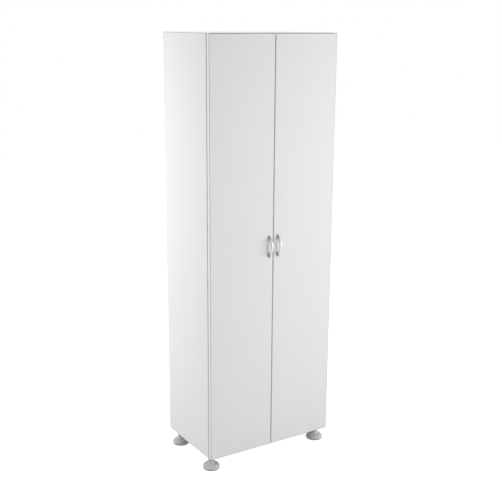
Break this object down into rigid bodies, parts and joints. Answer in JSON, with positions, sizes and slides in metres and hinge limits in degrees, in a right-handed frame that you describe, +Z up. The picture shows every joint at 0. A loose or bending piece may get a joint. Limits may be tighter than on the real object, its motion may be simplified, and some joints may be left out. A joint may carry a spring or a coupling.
{
  "type": "bathroom cabinet",
  "caption": "Tall free-standing bathroom cabinet with a pair of full-height doors on concealed hinges, bow handles, shelves inside and round levelling feet.",
  "frame": {"origin": "on the floor, under the middle of the whole cabinet, feet and handles included", "axes": "+Z up; the doors face -Y; +X to the right seen from the front"},
  "size_m": [0.616, 0.3988, 1.8],
  "materials": {
    "white_board": "particle board faced and edged with smooth white melamine, slight sheen",
    "back_hardboard": "thin hardboard, white lacquered face",
    "satin_nickel": "satin nickel on cast metal",
    "hinge_steel": "nickel-plated pressed steel",
    "zinc_fittings": "zinc-plated",
    "foot_grey": "moulded grey plastic, slight sheen",
    "socket_plastic": "moulded off-white plastic",
    "buffer_clear": "soft translucent plastic"
  },
  "bodies": {
    "carcass": {"back_panel": "back_hardboard", "bottom_panel": "white_board", "cam_lock_bottom_left_back": "zinc_fittings", "cam_lock_bottom_left_front": "zinc_fittings", "cam_lock_bottom_right_back": "zinc_fittings", "cam_lock_bottom_right_front": "zinc_fittings", "cam_lock_top_left_back": "zinc_fittings", "cam_lock_top_left_front": "zinc_fittings", "cam_lock_top_right_back": "zinc_fittings", "cam_lock_top_right_front": "zinc_fittings", "fixed_shelf": "white_board", "foot_socket_back_left": "socket_plastic", "foot_socket_back_right": "socket_plastic", "foot_socket_front_left": "socket_plastic", "foot_socket_front_right": "socket_plastic", "hinge_arm_left_bottom": "hinge_steel", "hinge_arm_left_middle": "hinge_steel", "hinge_arm_left_top": "hinge_steel", "hinge_arm_right_bottom": "hinge_steel", "hinge_arm_right_middle": "hinge_steel", "hinge_arm_right_top": "hinge_steel", "lower_shelf": "white_board", "shelf_pin_lower_left_back": "zinc_fittings", "shelf_pin_lower_left_front": "zinc_fittings", "shelf_pin_lower_right_back": "zinc_fittings", "shelf_pin_lower_right_front": "zinc_fittings", "shelf_pin_upper_left_back": "zinc_fittings", "shelf_pin_upper_left_front": "zinc_fittings", "shelf_pin_upper_right_back": "zinc_fittings", "shelf_pin_upper_right_front": "zinc_fittings", "side_panel_left": "white_board", "side_panel_right": "white_board", "top_panel": "white_board", "upper_shelf": "white_board"},
    "left_door": {"door_buffer_left": "buffer_clear", "door_left": "white_board", "handle_left": "satin_nickel", "handle_screw_left_lower": "zinc_fittings", "handle_screw_left_upper": "zinc_fittings", "hinge_cup_left_bottom": "hinge_steel", "hinge_cup_left_middle": "hinge_steel", "hinge_cup_left_top": "hinge_steel"},
    "right_door": {"door_buffer_right": "buffer_clear", "door_right": "white_board", "handle_right": "satin_nickel", "handle_screw_right_lower": "zinc_fittings", "handle_screw_right_upper": "zinc_fittings", "hinge_cup_right_bottom": "hinge_steel", "hinge_cup_right_middle": "hinge_steel", "hinge_cup_right_top": "hinge_steel"},
    "left_hinge_links": {"hinge_link_left_bottom": "hinge_steel", "hinge_link_left_middle": "hinge_steel", "hinge_link_left_top": "hinge_steel"},
    "right_hinge_links": {"hinge_link_right_bottom": "hinge_steel", "hinge_link_right_middle": "hinge_steel", "hinge_link_right_top": "hinge_steel"},
    "back_left_foot": {"levelling_foot_back_left": "foot_grey"},
    "back_right_foot": {"levelling_foot_back_right": "foot_grey"},
    "front_left_foot": {"levelling_foot_front_left": "foot_grey"},
    "front_right_foot": {"levelling_foot_front_right": "foot_grey"}
  },
  "joints": [
    {"name": "left_door_swing", "type": "hinge", "parent": "left_hinge_links", "child": "left_door", "pos_m": [-0.29, -0.1589, 1.018], "axis": [0, 0, -1], "range_deg": [0, 131], "stiffness_Nm_per_rad": 0.3, "springref_deg": -57.3},
    {"name": "left_link_swing", "type": "hinge", "parent": "carcass", "child": "left_hinge_links", "pos_m": [-0.271, -0.1554, 1.018], "axis": [0, 0, 1], "range_deg": [0, 36.1]},
    {"name": "right_door_swing", "type": "hinge", "parent": "right_hinge_links", "child": "right_door", "pos_m": [0.29, -0.1589, 1.018], "axis": [0, 0, 1], "range_deg": [0, 131], "stiffness_Nm_per_rad": 0.3, "springref_deg": -57.3},
    {"name": "right_link_swing", "type": "hinge", "parent": "carcass", "child": "right_hinge_links", "pos_m": [0.271, -0.1554, 1.018], "axis": [0, 0, -1], "range_deg": [0, 36.1]},
    {"name": "front_left_foot_height", "type": "slide", "parent": "carcass", "child": "front_left_foot", "axis": [0, 0, -1], "range_m": [0, 0.012]},
    {"name": "front_right_foot_height", "type": "slide", "parent": "carcass", "child": "front_right_foot", "axis": [0, 0, -1], "range_m": [0, 0.012]},
    {"name": "back_left_foot_height", "type": "slide", "parent": "carcass", "child": "back_left_foot", "axis": [0, 0, -1], "range_m": [0, 0.012]},
    {"name": "back_right_foot_height", "type": "slide", "parent": "carcass", "child": "back_right_foot", "axis": [0, 0, -1], "range_m": [0, 0.012]}
  ],
  "couplings": [
    {"joint": "left_link_swing", "follows": "left_door_swing", "ratio": 0.275},
    {"joint": "right_link_swing", "follows": "right_door_swing", "ratio": 0.275}
  ]
}
